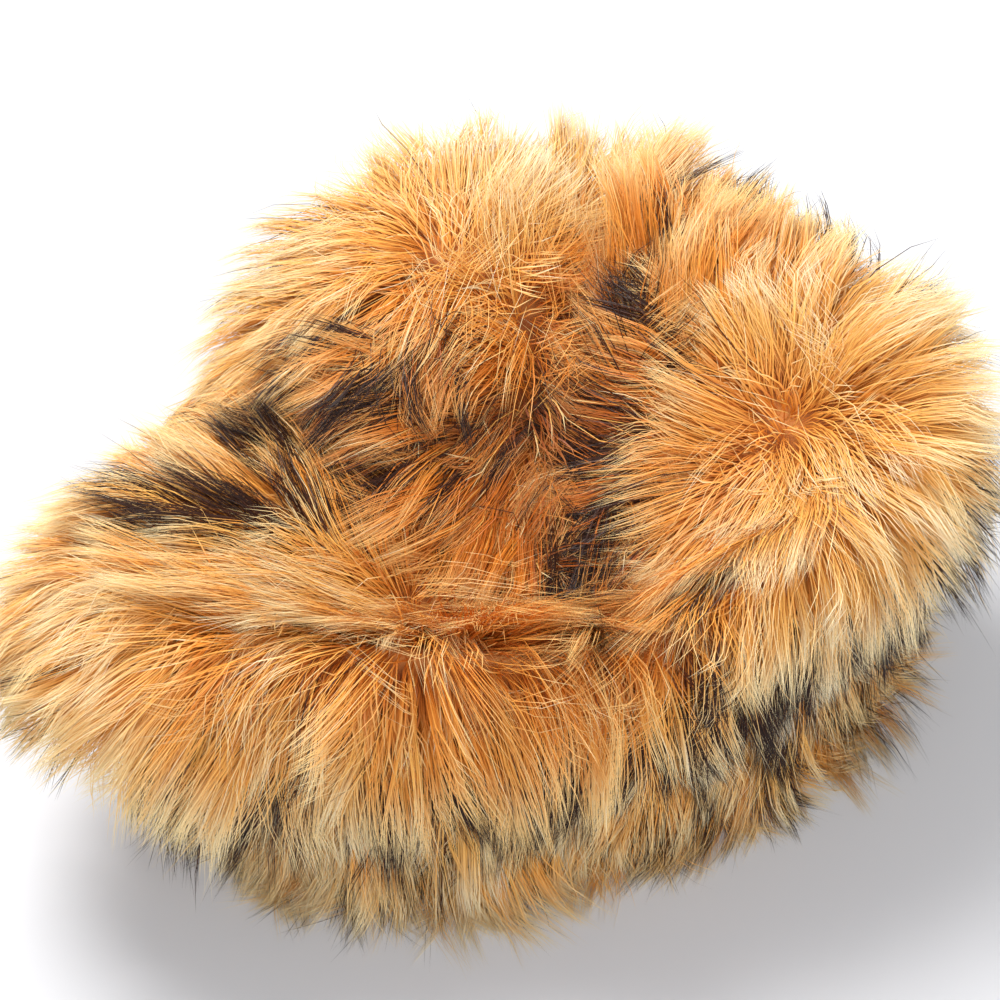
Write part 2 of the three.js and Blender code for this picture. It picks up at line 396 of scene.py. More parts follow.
# %% [markdown]
# The fur of the sides hangs, and how far it stands out differs round the hat. At the left it has
# been pressed flat, and at the front left it splays most. A table with a row each 30 degrees says
# so, because a table is easy to correct against the photograph.

# %% How the sides' fur stands
PILE_LENGTH = 42.0
SIDE_STANCE = [1.0, 0.8, 1.1, 1.0, 0.8, 0.5, 0.15, 0.8, 1.1, 0.85, 0.6, 0.8]
# How long it is there, as a share of the pile's length.
SIDE_LENGTH = [1.12, 0.88, 1.12, 1.14, 1.0, 0.85, 0.6, 0.95, 1.2, 1.2, 1.05, 1.0]


def around(table, points):
    """The value of a table with a row each 30 degrees, at the bearing of each point."""
    turns = np.degrees(np.arctan2(points[:, 1], points[:, 0])) / 360.0
    return closed_spline([[value] for value in table], turns)[:, 0]


def stance(points):
    """The share by which the sides' fur stands out at each point."""
    return around(SIDE_STANCE, points)


print("length of the sides' fur, mm:", [round(PILE_LENGTH * share) for share in SIDE_LENGTH])

# %% Keep a point of each hair clear
FLOOR_CLEAR = 0.4
CLOTH_CLEAR = 1.0
PILE_CLEAR = 8.0
WALL_CLEAR = 0.5
BAND_FUR_DEPTH = 5.0
BAND_FUR_SPLAY = 0.36


def keep_clear(points, share, on_top, from_crown):
    """Points pushed out of the fabric and up from the floor. share is how far along the hair."""
    top = crown_top(points) + (CLOTH_CLEAR + PILE_CLEAR * share)
    points[:, 2] += np.maximum(top - points[:, 2], 0) * on_top

    bearing = np.degrees(np.arctan2(points[:, 1], points[:, 0]))
    reach = np.hypot(points[:, 0], points[:, 1])
    hang = np.maximum(SEAM_HEIGHT - points[:, 2], 0)
    wall = band_reach(bearing) + WALL_CLEAR
    splay = (BAND_FUR_DEPTH + BAND_FUR_SPLAY * hang * stance(points)) * share
    wall = wall + from_crown * (hang > 0) * splay
    inside = (points[:, 2] < SEAM_HEIGHT) & (reach < wall) & (on_top < 0.5)
    outwards = np.where(inside, wall / np.maximum(reach, 1), 1.0)
    points[:, :2] *= outwards[:, None]
    points[:, 2] = np.maximum(points[:, 2], FLOOR_CLEAR)
    return points


# %% [markdown]
# ## Growing the hairs
#
# Blender's own hair curves would be the usual way, with hair nodes for the clumps. The exported
# model needs meshes, so each hair here is a thin flat ribbon that tapers to a point. Its path is
# grown in twelve short steps: it leaves the cloth steeply, leans the way the pile lies and droops
# towards its tip. Five points of the path are kept, enough for a smooth bend.

# %% Grow a path for each root
GROW_STEPS = 12
HAIR_POINTS = 5
CURL = 0.45
WAVE_TURN = 6.0
SWAY_AT_ROOT = 0.4
DROOP_GROWTH = 1.3
LEAST_LEAN = 0.02


def grow(roots, normals, lies, lengths, lifts, sways, waves, droops, from_crown):
    """Paths of HAIR_POINTS points each, as an array of hairs by points by three."""
    sides = np.cross(normals, lies)
    on_top = flatness(normals)
    step_length = (lengths / GROW_STEPS)[:, None]
    point = roots.copy()
    path = [point.copy()]
    for step in range(GROW_STEPS):
        share = (step + 0.5) / GROW_STEPS
        lift = (lifts * (1 - CURL * share))[:, None]
        way = normals * lift + lies * np.sqrt(np.maximum(1 - lift**2, LEAST_LEAN))
        wave = waves[:, 0] * np.sin(WAVE_TURN * share + waves[:, 1])
        bend = sways * (SWAY_AT_ROOT + share) + wave
        way += sides * bend[:, None]
        way[:, 2] -= droops * share**DROOP_GROWTH
        aim = point + unit(way) * step_length
        aim = keep_clear(aim, share, on_top, from_crown)
        point = point + unit(aim - point) * step_length
        point[:, 2] = np.maximum(point[:, 2], FLOOR_CLEAR)
        path.append(point.copy())
    kept = np.linspace(0, GROW_STEPS, HAIR_POINTS).round().astype(int)
    return np.stack(path, 1)[:, kept]


def middle(coat_of):
    """The middle of each hair of a coat."""
    return coat_of["paths"][:, HAIR_POINTS // 2]


def outer(coat_of):
    """The last bend of each hair of a coat."""
    return coat_of["paths"][:, -2]


# %% [markdown]
# Hairs gather into wisps, and wisps into tufts, with their tips drawn together and their roots
# apart. Each hair follows the nearest guide hair more and more towards its tip. Doing this at two
# sizes gives the pointed, uneven tufts of real fur.

# %% Gather the hairs
DRAW_GROWTH = 1.1


def nearest(points, guides):
    """For each point, the index of the nearest guide."""
    tree = kdtree.KDTree(len(guides))
    for index, guide in enumerate(guides):
        tree.insert(guide, index)
    tree.balance()
    return np.array([tree.find(point)[1] for point in points])


def share_out(roots, size):
    """Guide hairs, one to each size hairs, and the guide that each hair follows."""
    guides = rng.choice(len(roots), max(len(roots) // size, 1), replace=False)
    return guides, nearest(roots, roots[guides])


def gather(paths, guide_paths, guide_of, strength):
    """Paths drawn to their guides, from nothing at the root to strength at the tip."""
    share = np.linspace(0, 1, HAIR_POINTS)
    draw = strength[:, None] * share**DRAW_GROWTH
    return paths + (guide_paths[guide_of] - paths) * draw[:, :, None]


# %% [markdown]
# Handling leaves the pile swung a little this way here and that way there. A few sine waves laid
# over each other in space do this as well as a noise texture, and run on from piece to piece.

# %% Slow swings in the way of the pile
# How fast each wave runs along X, Y and Z, and where it starts.
SWINGS = [
    (0.21, 0.08, 0.05, 0.4),
    (-0.07, 0.19, 0.11, 1.9),
    (0.11, -0.13, 0.17, 3.1),
    (0.05, 0.10, -0.22, 5.0),
]
SWING_SIZE = 0.12


def drift(points):
    """How far the pile swings sideways at each point, in a pattern about 40 mm across."""
    total = np.zeros(len(points))
    for along_x, along_y, along_z, phase in SWINGS:
        total += np.sin(points @ np.array([along_x, along_y, along_z]) + phase)
    return SWING_SIZE * total


print("most that the pile swings:", round(SWING_SIZE * len(SWINGS), 2))

# %% [markdown]
# ## One coat of fur
#
# No two tufts of fur are alike, and within a tuft the wisps differ, and then the hairs. Each size
# gets its own small differences in sway, lift and length. That keeps the pile from looking either
# combed by a machine or like noise.

# %% How tufts, wisps and hairs differ
TUFT_SWAY, TUFT_LIFT, TUFT_LENGTH = 0.20, 0.10, 0.08
WISP_SWAY = 0.16
WAVE_SIZE, WAVE_SPREAD = 0.17, 0.09
HAIR_PHASE, HAIR_LIFT, HAIR_LENGTH = 0.25, 0.05, 0.11
TUFT_STRAY, HAIR_STRAY = 1.0, 0.4
STRAY_SIZE = 0.8


def differences(tufts, wisps):
    """Sway, lift and length of the tufts, and sway of the wisps, round the coat's own."""
    return (
        rng.normal(0, TUFT_SWAY, tufts),
        rng.normal(0, TUFT_LIFT, tufts),
        rng.normal(0, TUFT_LENGTH, tufts),
        rng.normal(0, WISP_SWAY, wisps),
    )


def waves_of(wisp_of, wisps):
    """The size and the start of each hair's wave. The hairs of a wisp wave nearly together."""
    size = rng.normal(WAVE_SIZE, WAVE_SPREAD, wisps)[wisp_of]
    phase = rng.uniform(0, 2 * math.pi, wisps)[wisp_of]
    return np.stack([size, phase + rng.normal(0, HAIR_PHASE, len(wisp_of))], 1)


def unsettle(lies, settled, normals, tuft_of, tufts):
    """Close to a parting each tuft and each hair falls its own way."""
    stray = rng.normal(0, TUFT_STRAY, (tufts, 3))[tuft_of]
    stray = stray + rng.normal(0, HAIR_STRAY, (len(lies), 3))
    stray -= normals * (stray * normals).sum(1, keepdims=True)
    return unit(lies * settled[:, None] + stray * STRAY_SIZE * (1 - settled)[:, None])


# %% [markdown]
# Fur is also longer or shorter by where it grows. It is short at a parting and down at the rim,
# where it meets the floor. On the sides it follows the table above. Where the crown starts nearly
# level at the seam, its hairs turn down over the edge.

# %% How lift and length change over the hat
PARTING_LIFT = 0.20
PARTING_LENGTH = 0.72
RIM_LENGTH, RIM_HEIGHT = 0.66, 30.0
FLANK_TOP, FLANK_FADE = 0.68, 0.15
BRINK_LEVEL, BRINK_DROOP = 0.45, 1.4
BRINK_SHORTER, BRINK_LOWER = 0.3, 0.6
LEAST_LIFT, MOST_LIFT = 0.08, 0.95


def placed_lifts(lifts, roots, normals, settled):
    """Lifts changed by how the sides' fur stands, and raised at the partings."""
    # From 0 on the crown's top to 1 on the sides.
    sideways = np.clip(1.3 - 1.5 * normals[:, 2], 0, 1)
    lifts = lifts * (1 + sideways * (stance(roots) - 1)) + PARTING_LIFT * (1 - settled)
    return np.clip(lifts, LEAST_LIFT, MOST_LIFT)


def placed_lengths(lengths, roots, level, settled, from_crown):
    """Lengths shortened at partings and at the rim, and changed round the sides."""
    at_rim = np.clip(RIM_LENGTH + (1 - RIM_LENGTH) * roots[:, 2] / RIM_HEIGHT, 0, 1)
    lengths = lengths * (PARTING_LENGTH + (1 - PARTING_LENGTH) * settled) * at_rim
    flank = np.clip((FLANK_TOP - level) / FLANK_FADE, 1 - from_crown, 1)
    return lengths * (1 + flank * (around(SIDE_LENGTH, roots) - 1))


# %% [markdown]
# Last come frizz along every hair and a few flyaways that leave their wisp. They break the clean
# edges of the tufts, which is most of what makes fur look soft.

# %% Loosen the hairs
FRIZZ = 0.18
FLYAWAYS = 0.05
FLYAWAY_LEAN, HAIR_LEAN = 4.0, 0.8
LOOSE_CLEAR = 0.3


def loosen(paths, on_top, from_crown):
    """Paths with frizz and flyaways, kept clear of the cloth again."""
    count = len(paths)
    share = np.linspace(0, 1, HAIR_POINTS)
    frizz = rng.normal(0, FRIZZ, (count, HAIR_POINTS, 3)) * share[None, :, None]
    loose = np.where(rng.random(count) < FLYAWAYS, FLYAWAY_LEAN, HAIR_LEAN)
    lean = rng.normal(0, 1, (count, 1, 3)) * (share[None, :] ** 2 * loose[:, None])[:, :, None]
    paths = paths + frizz + lean
    for index in range(1, HAIR_POINTS):
        clear = LOOSE_CLEAR * share[index]
        paths[:, index] = keep_clear(paths[:, index], clear, on_top, from_crown)
    return paths


# %% Grow one coat of fur
WISPS_TO_TUFT = (0.25, 0.70)
HAIRS_TO_WISP = (0.50, 0.92)


def fur_coat(surface, count, length, lift, droop, unruly, from_crown, wisp, tuft, low, high):
    """Paths, roots, normals and levels for a coat of hairs on one surface.

    unruly is how far each hair strays sideways, and wisp and tuft are how many hairs gather
    round one guide at each of the two sizes. from_crown is 1 for the crown and 0 for the band.
    """
    level, bearing, area = scatter(surface, count, low, high)
    roots = surface(level, bearing)
    normals = facing(surface, level, bearing)
    lies, settled = combed(roots, normals)
    tufts, tuft_of = share_out(roots, tuft)
    wisps, wisp_of = share_out(roots, wisp)
    lies = unsettle(lies, settled, normals, tuft_of, len(tufts))

    tuft_sway, tuft_lift, tuft_long, wisp_sway = differences(len(tufts), len(wisps))
    sways = drift(roots) + tuft_sway[tuft_of] + wisp_sway[wisp_of]
    sways = sways + rng.normal(0, unruly, count)
    waves = waves_of(wisp_of, len(wisps))
    lifts = lift + tuft_lift[tuft_of] + rng.normal(0, HAIR_LIFT, count)
    lifts = placed_lifts(lifts, roots, normals, settled)
    lengths = length * (1 + tuft_long[tuft_of] + rng.normal(0, HAIR_LENGTH, count))
    lengths = placed_lengths(lengths, roots, level, settled, from_crown)

    brink = flatness(normals) * np.clip(1 - level / BRINK_LEVEL, 0, 1) * from_crown
    droops = droop + BRINK_DROOP * brink
    lengths = lengths * (1 - BRINK_SHORTER * brink)
    lifts = lifts * (1 - BRINK_LOWER * brink)

    paths = grow(roots, normals, lies, lengths, lifts, sways, waves, droops, from_crown)
    strength = rng.uniform(*WISPS_TO_TUFT, len(wisps))
    wisp_paths = gather(paths[wisps], paths[tufts], tuft_of[wisps], strength)
    paths = gather(paths, wisp_paths, wisp_of, rng.uniform(*HAIRS_TO_WISP, count))
    paths = loosen(paths, flatness(normals), from_crown)
    print("coat of", count, "hairs on", round(area / 100), "square centimetres")
    return {
        "paths": paths,
        "roots": roots,
        "normals": normals,
        "level": level,
        "bearing": bearing,
        "tuft": tuft_of,
        "wisp": wisp_of,
    }


# %% [markdown]
# ## Dye
#
# The pile is dyed orange, with pale tips. In the stripes, some hairs have black tips. Every hair's
# colour is looked up in one chart: across it are the dyes, from palest to black-tipped, and up it
# is the way along the hair. The chart is the hairs' own UV map, so that the colours stay with the
# meshes wherever they are used.

# %% Tables of the dye
DARK_DYES = (0.82, 1.0)
DYE_BASE, BASE_WEIGHT = 0.28, 0.12
# Where the pile is deeper or paler: along X, along Y, how far it reaches, and its place in the
# dye chart. They mix the pile's own dye with painted light and shade: the deepest areas lie
# along the creases and in the dent, where shade falls, and the palest on the lobes' tops.
DYE_AND_SHADE_AREAS = [
    (0.0, 66.0, 36.0, 0.10),
    (-66.0, 40.0, 28.0, 0.22),
    (92.0, -14.0, 36.0, 0.15),
    (60.0, -12.0, 16.0, 0.42),
    (-62.0, -62.0, 30.0, 0.28),
    (14.0, -66.0, 24.0, 0.48),
    (-40.0, 0.0, 24.0, 0.66),
    (-8.0, -4.0, 22.0, 0.70),
    (28.0, 40.0, 16.0, 0.70),
    (30.0, 6.0, 17.0, 0.76),
    (24.0, -38.0, 17.0, 0.74),
    (62.0, 62.0, 20.0, 0.46),
]


def dye_and_shade_tone(points):
    """The place in the dye chart that the areas give at each point, painted shade and light
    included.
    """
    total = np.full(len(points), BASE_WEIGHT)
    tone = total * DYE_BASE
    for x, y, reach, value in DYE_AND_SHADE_AREAS:
        weight = np.exp(-(((points[:, 0] - x) ** 2 + (points[:, 1] - y) ** 2) / reach**2))
        total = total + weight
        tone = tone + weight * value
    return tone / total


print(len(DYE_AND_SHADE_AREAS), "areas of dye")

# %% [markdown]
# A stripe is woven in by where its hairs are rooted, but it is seen where their outer parts lie.
# The strokes on the crown are therefore placed by the outer parts, which is how they are read
# off the hat, and the belt round the lower crown by the level of the roots.

# %% Dark strokes and the dark belt
# From X, Y to X, Y, half the width, and how many of the hairs there are dark.
DARK_STROKES = [
    ((-94.0, -38.0), (-66.0, -30.0), 11.0, 1.25),
    ((-66.0, -30.0), (-44.0, -24.0), 7.0, 0.80),
    ((-44.0, -24.0), (-6.0, -20.0), 6.0, 0.42),
    ((-74.0, -8.0), (-30.0, -6.0), 6.0, 0.46),
    ((-62.0, 16.0), (-44.0, 12.0), 5.0, 0.50),
    ((-84.0, 2.0), (-60.0, 4.0), 4.0, 0.38),
    ((-40.0, 2.0), (-6.0, -8.0), 13.0, 0.34),
    ((-20.0, 18.0), (0.0, 14.0), 7.0, 0.30),
    ((12.0, 22.0), (14.0, -14.0), 7.0, 0.52),
    ((34.0, 36.0), (28.0, 10.0), 7.0, 0.68),
    ((28.0, 10.0), (21.0, -30.0), 9.0, 0.90),
    ((21.0, -30.0), (18.0, -60.0), 7.0, 0.85),
    ((44.0, 56.0), (36.0, 36.0), 5.0, 0.42),
    ((50.0, 20.0), (34.0, 14.0), 7.0, 0.50),
    ((66.0, 78.0), (92.0, 74.0), 9.0, 0.36),
    ((104.0, 60.0), (124.0, 44.0), 10.0, 0.30),
    ((26.0, -76.0), (30.0, -92.0), 5.0, 0.45),
    ((52.0, -66.0), (58.0, -86.0), 6.0, 0.50),
    ((-44.0, -92.0), (-50.0, -104.0), 4.0, 0.45),
]
# A row each 30 degrees: how many of the belt's hairs are dark.
BELT_STRENGTH = [0.75, 0.50, 0.40, 0.35, 0.40, 0.35, 0.30, 0.35, 0.60, 0.68, 0.74, 0.90]
BELT_LEVEL = 0.27
BELT_HALF_WIDTH = 0.13


def stroke_share(points):
    """How many of the hairs are dark where their outer parts lie, from 0 to 1."""
    best = np.zeros(len(points))
    for start, end, half, strength in DARK_STROKES:
        away = np.linalg.norm(offset_from(points, start, end), axis=1)
        best = np.maximum(best, strength * np.exp(-((away / half) ** 2)))
    return best


def belt_share(coat_of):
    """The same for the belt, by the level that the hairs grow from."""
    away = (coat_of["level"] - BELT_LEVEL) / BELT_HALF_WIDTH
    return around(BELT_STRENGTH, coat_of["roots"]) * np.exp(-(away**2))


print(len(DARK_STROKES), "dark strokes")

# %% [markdown]
# A stripe's edge is ragged. Whole wisps go dark together, and the stripe thins and thickens in
# blotches. The blotches are cells round random marks, drawn out upwards. The dark hairs are a
# little longer than their neighbours, as guard hairs are.

# %% Choose a dye for each hair
BLOTCH_SIZE = np.array([11.0, 11.0, 30.0])
BLOTCH_MARKS = 4000
BLOTCH_PALE_SHARE = 0.52
IN_PALE_BLOTCH, IN_DARK_BLOTCH = 0.25, 1.75
SOLID_STROKE = 0.75
WISP_SAYS, HAIR_SAYS = 0.55, 0.45
DARK_LONGER = 1.10
PALE_HAIRS, PALE_SHIFT = 0.06, 0.3
DEEPEST_ORANGE = 0.78
HAIR_SPREAD = 0.7


def orange_column(coat_of, tone, spread):
    """A place among the oranges of the dye chart for each hair."""
    count = len(coat_of["roots"])
    column = tone + coat_of["tuft_tone"][coat_of["tuft"]] + coat_of["wisp_tone"][coat_of["wisp"]]
    column = column + rng.normal(0, spread * HAIR_SPREAD, count)
    column = np.where(rng.random(count) < PALE_HAIRS, column * PALE_SHIFT, column)
    return np.clip(column, 0.0, DEEPEST_ORANGE)


def in_blotches(coat_of, dark_share):
    """The share of dark hairs, thinned and thickened in blotches, but not in a solid stroke."""
    ends = outer(coat_of)
    marks = rng.uniform(ends.min(0), ends.max(0), (BLOTCH_MARKS, 3))
    blotch = rng.random(len(marks))[nearest(ends / BLOTCH_SIZE, marks / BLOTCH_SIZE)]
    thinned = np.where(blotch > BLOTCH_PALE_SHARE, IN_DARK_BLOTCH, IN_PALE_BLOTCH)
    return dark_share * np.where(dark_share > SOLID_STROKE, 1.0, thinned)


def dye(coat_of, tone, spread, dark_share):
    """Give each hair its place across the dye chart, and make the dark ones a little longer."""
    count, wisps = len(coat_of["roots"]), coat_of["wisp"].max() + 1
    coat_of["tuft_tone"] = rng.normal(0, spread, coat_of["tuft"].max() + 1)
    coat_of["wisp_tone"] = rng.normal(0, spread, wisps)
    wisp_dark = rng.random(wisps)
    column = orange_column(coat_of, tone, spread)
    local = in_blotches(coat_of, dark_share)
    draw = HAIR_SAYS * rng.random(count) + WISP_SAYS * wisp_dark[coat_of["wisp"]]
    dark = draw < local
    column[dark] = rng.uniform(*DARK_DYES, dark.sum())
    coat_of["dye"] = column
    roots = coat_of["roots"][dark][:, None]
    coat_of["paths"][dark] = roots + (coat_of["paths"][dark] - roots) * DARK_LONGER
    print("dark-tipped hairs:", int(dark.sum()), "of", count)


# %% [markdown]
# One material does for the whole pile. Three colour ramps run across the dye chart, for the
# hairs' roots, middles and tips, and the way along the hair mixes them. The fibre is acrylic, so
# it has a soft gloss. Blender's hair shader isn't used, because an exported model can't carry it.

# %% Colours of the dye chart


def linear(red, green, blue):
    """A colour from 0 to 255 as the shader wants it."""
    channels = [c / 255 for c in (red, green, blue)]
    return [c / 12.92 if c <= 0.04045 else ((c + 0.055) / 1.055) ** 2.4 for c in channels] + [1.0]


# Place across the dye chart, then the colour of the root, the middle and the tip.
DYES = [
    (0.00, (222, 144, 60), (240, 194, 114), (242, 232, 206)),
    (0.22, (214, 129, 45), (240, 177, 86), (242, 222, 170)),
    (0.45, (198, 105, 30), (234, 147, 53), (242, 199, 124)),
    (0.65, (168, 80, 20), (204, 109, 33), (226, 155, 81)),
    (0.78, (128, 56, 14), (152, 76, 26), (178, 112, 58)),
    (0.82, (150, 76, 28), (78, 40, 20), (50, 32, 24)),
    (1.00, (118, 56, 20), (40, 21, 13), (22, 14, 12)),
]
ROOT_TO_MIDDLE = (0.08, 0.50)
MIDDLE_TO_TIP = (0.50, 0.95)
print(len(DYES), "dyes")

# %% Material of the pile
PILE_ROUGHNESS = 0.42
PILE_GLOSS = 0.22


def dye_ramp(nodes, part):
    """A colour ramp across the dye chart, for the roots, the middles or the tips."""
    ramp = nodes.new("ShaderNodeValToRGB")
    elements = ramp.color_ramp.elements
    while len(elements) < len(DYES):
        elements.new(0.5)
    for element, row in zip(elements, DYES):
        element.position = row[0]
        element.color = linear(*row[part + 1])
    return ramp


def pile_material():
    """Glossy dyed fibre that takes its colour from the hairs' own UV map."""
    material = bpy.data.materials.new("fur_pile")
    material.use_nodes = True
    nodes, links = material.node_tree.nodes, material.node_tree.links
    shader = nodes["Principled BSDF"]
    shader.inputs["Roughness"].default_value = PILE_ROUGHNESS
    shader.inputs["Specular IOR Level"].default_value = PILE_GLOSS
    chart = nodes.new("ShaderNodeUVMap")
    chart.uv_map = "OFBake"
    parts = nodes.new("ShaderNodeSeparateXYZ")
    links.new(chart.outputs["UV"], parts.inputs["Vector"])
    ramps = [dye_ramp(nodes, part) for part in range(3)]
    for ramp in ramps:
        links.new(parts.outputs["X"], ramp.inputs["Fac"])

    colour = ramps[0].outputs["Color"]
    for ramp, (low, high) in ((ramps[1], ROOT_TO_MIDDLE), (ramps[2], MIDDLE_TO_TIP)):
        fade = nodes.new("ShaderNodeMapRange")
        fade.interpolation_type = "SMOOTHSTEP"
        fade.inputs["From Min"].default_value = low
        fade.inputs["From Max"].default_value = high
        links.new(parts.outputs["Y"], fade.inputs["Value"])
        mix = nodes.new("ShaderNodeMix")
        mix.data_type = "RGBA"
        links.new(fade.outputs["Result"], mix.inputs["Factor"])
        links.new(colour, mix.inputs["A"])
        links.new(ramp.outputs["Color"], mix.inputs["B"])
        colour = mix.outputs["Result"]
    links.new(colour, shader.inputs["Base Color"])
    return material


pile = pile_material()
print("pile material of", len(pile.node_tree.nodes), "nodes")

# %% [markdown]
# ## Hairs as ribbons
#
# A real hair of this pile is round and under a tenth of a millimetre thick. Tubes would take far
# too many faces, so each hair is a ribbon, a little wider than real. It has one point at the root,
# a pair of points at each bend of the path, and one point at the tip. It faces mostly outwards
# from the cloth, with a little random roll, so that together the ribbons catch the light softly.

# %% Points and faces of the ribbons
HAIR_WIDTH = 0.30
UNDER_WIDTH = 0.60
WIDTH_RANGE = (0.7, 1.25)
WIDTH_AT_LAST_BEND = 0.6
ROLL = 0.35
LOWEST_POINT = 0.1


def ribbon_points(paths, normals, width):
    """The points of each hair's ribbon: its root, two at each bend, and its tip."""
    count, bends = len(paths), paths.shape[1] - 2
    tangents = unit(np.gradient(paths, axis=1))[:, 1:-1]
    roll = rng.normal(0, ROLL, count)
    across = unit(np.cross(tangents, normals[:, None, :]))
    over = np.cross(across, tangents)
    across = across * np.cos(roll)[:, None, None] + over * np.sin(roll)[:, None, None]
    taper = np.linspace(1.0, WIDTH_AT_LAST_BEND, bends)
    widths = width * rng.uniform(*WIDTH_RANGE, count)
    half = across * (widths[:, None] * taper)[:, :, None] / 2

    points = np.empty((count, 2 * bends + 2, 3))
    points[:, 0] = paths[:, 0]
    points[:, 1:-1:2] = paths[:, 1:-1] - half
    points[:, 2:-1:2] = paths[:, 1:-1] + half
    points[:, -1] = paths[:, -1]
    points[..., 2] = np.maximum(points[..., 2], LOWEST_POINT)
    return points


def ribbon_faces(bends):
    """One ribbon's faces: a triangle, a quad between each two bends, and a triangle."""
    last = 2 * bends + 1
    faces = [(0, 2, 1)]
    faces += [(2 * i + 1, 2 * i + 2, 2 * i + 4, 2 * i + 3) for i in range(bends - 1)]
    faces += [(last - 2, last - 1, last)]
    return faces


faces_of_one = ribbon_faces(HAIR_POINTS - 2)
print("faces of one hair:", len(faces_of_one))

# %% [markdown]
# Blender's `from_pydata` is slow for half a million faces, so the arrays go straight into the
# mesh. The same faces serve every hair, with the numbers of its points added on.

# %% Turn hairs into a mesh


def hair_mesh(name, points, faces):
    """One mesh of many ribbons with the same faces."""
    count, per_hair = points.shape[:2]
    corners = np.array([corner for face in faces for corner in face])
    sizes = np.tile([len(face) for face in faces], count)
    loops = (corners[None, :] + per_hair * np.arange(count)[:, None]).ravel()
    starts = np.concatenate([[0], np.cumsum(sizes)[:-1]])
    mesh = bpy.data.meshes.new(name)
    mesh.vertices.add(count * per_hair)
    mesh.vertices.foreach_set("co", (points * MM).astype(np.float32).ravel())
    mesh.loops.add(len(loops))
    mesh.loops.foreach_set("vertex_index", loops.astype(np.int32))
    mesh.polygons.add(len(sizes))
    mesh.polygons.foreach_set("loop_start", starts.astype(np.int32))
    mesh.polygons.foreach_set("use_smooth", np.ones(len(sizes), bool))
    mesh.update(calc_edges=True)
    return mesh, corners, int((sizes - 2).sum())


def hairs(name, coat_of, chosen, width):
    """A piece of the chosen hairs, with their places in the dye chart."""
    points = ribbon_points(coat_of["paths"][chosen], coat_of["normals"][chosen], width)
    mesh, corners, triangles = hair_mesh(name, points, faces_of_one)
    places = np.linspace(0, 1, HAIR_POINTS)
    along = np.concatenate([places[:1], np.repeat(places[1:-1], 2), places[-1:]])
    chart = np.empty((len(points), len(corners), 2), np.float32)
    chart[:, :, 0] = coat_of["dye"][chosen][:, None]
    chart[:, :, 1] = along[corners][None, :]
    mesh.uv_layers.new(name="OFBake").data.foreach_set("uv", chart.ravel())
    mesh.materials.append(pile)
    piece = bpy.data.objects.new(name, mesh)
    bpy.context.scene.collection.objects.link(piece)
    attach(piece, "root")
    print(name, len(points), "hairs,", triangles, "triangles")


# %% [markdown]
# ## The hat's four coats
#
# Fur fabric has two kinds of fibre: long guard hairs, and a short, dense, unruly underfur that
# closes the gaps between them. So the crown and the band each get two coats. The crown's hairs
# stand a little less than the band's, because they lie on a level top.

# %% Grow the coats
UNDER_LENGTH = 22.0
GUARD_HAIR = {"length": PILE_LENGTH, "unruly": 0.05, "wisp": 22, "tuft": 130}
UNDERFUR = {"length": UNDER_LENGTH, "unruly": 0.35, "wisp": 5, "tuft": 40}
ON_CROWN = {"surface": crown_surface, "from_crown": 1.0, "low": 0.02, "high": 0.99}
ON_BAND = {"surface": band_surface, "from_crown": 0.0, "low": 0.03, "high": 0.98}

crown_over = fur_coat(count=80000, lift=0.46, droop=0.6, **GUARD_HAIR, **ON_CROWN)
crown_under = fur_coat(count=24000, lift=0.50, droop=0.3, **UNDERFUR, **ON_CROWN)
band_over = fur_coat(count=40000, lift=0.52, droop=0.5, **GUARD_HAIR, **ON_BAND)
band_under = fur_coat(count=8000, lift=0.50, droop=0.4, **UNDERFUR, **ON_BAND)

# %% [markdown]
# The dye, with the areas' painted shade and light, follows the areas over most of the crown. At
# its fringe the fur is evenly pale, with the dark belt in it. The underfur is deeper than the
# hairs over it, partly its own dye and partly painted shade deep in the pile between them, and has
# no black. The band is deeper again, with a thinner share of the belt's dark hairs.

# %% Dye the coats
FRINGE_LEVEL, FRINGE_FADE = 0.42, 0.3
FRINGE_TONE, FRINGE_SHARE = 0.12, 0.7
# The underfur's deeper tones are partly its own dye and partly painted shade, deep in the pile
# between the guard hairs.
UNDERFUR_SHADE_DEEPER = 0.18
BAND_TONE, BAND_UNDERFUR_SHADE_TONE = 0.26, 0.45
BAND_DARK_SHARE = 0.32

fringe = np.clip((FRINGE_LEVEL - crown_over["level"]) / FRINGE_FADE, 0, 1)
tone = dye_and_shade_tone(middle(crown_over))
tone = tone + (FRINGE_TONE - tone) * FRINGE_SHARE * fringe
dark = stroke_share(outer(crown_over)) * (1 - fringe)
dark = np.maximum(dark, belt_share(crown_over))
underfur_shade_tone = dye_and_shade_tone(middle(crown_under)) + UNDERFUR_SHADE_DEEPER
band_dark = BAND_DARK_SHARE * around(BELT_STRENGTH, band_over["roots"])

dye(crown_over, tone, spread=0.04, dark_share=dark)
dye(crown_under, underfur_shade_tone, spread=0.05, dark_share=np.zeros(len(underfur_shade_tone)))
dye(band_over, BAND_TONE, spread=0.06, dark_share=band_dark)
dye(band_under, BAND_UNDERFUR_SHADE_TONE, spread=0.05, dark_share=np.zeros(len(band_under["roots"])))

# %% [markdown]
# One mesh for all the fur would be hard to handle, so each coat is parted by bearing into named
# pieces. They meet hair by hair, and no join shows.

# %% Build the fur in named pieces


def sector(coat_of, start, width):
    """The hairs rooted within a number of degrees from a bearing."""
    return np.flatnonzero(np.mod(coat_of["bearing"] - start, 360.0) < width)


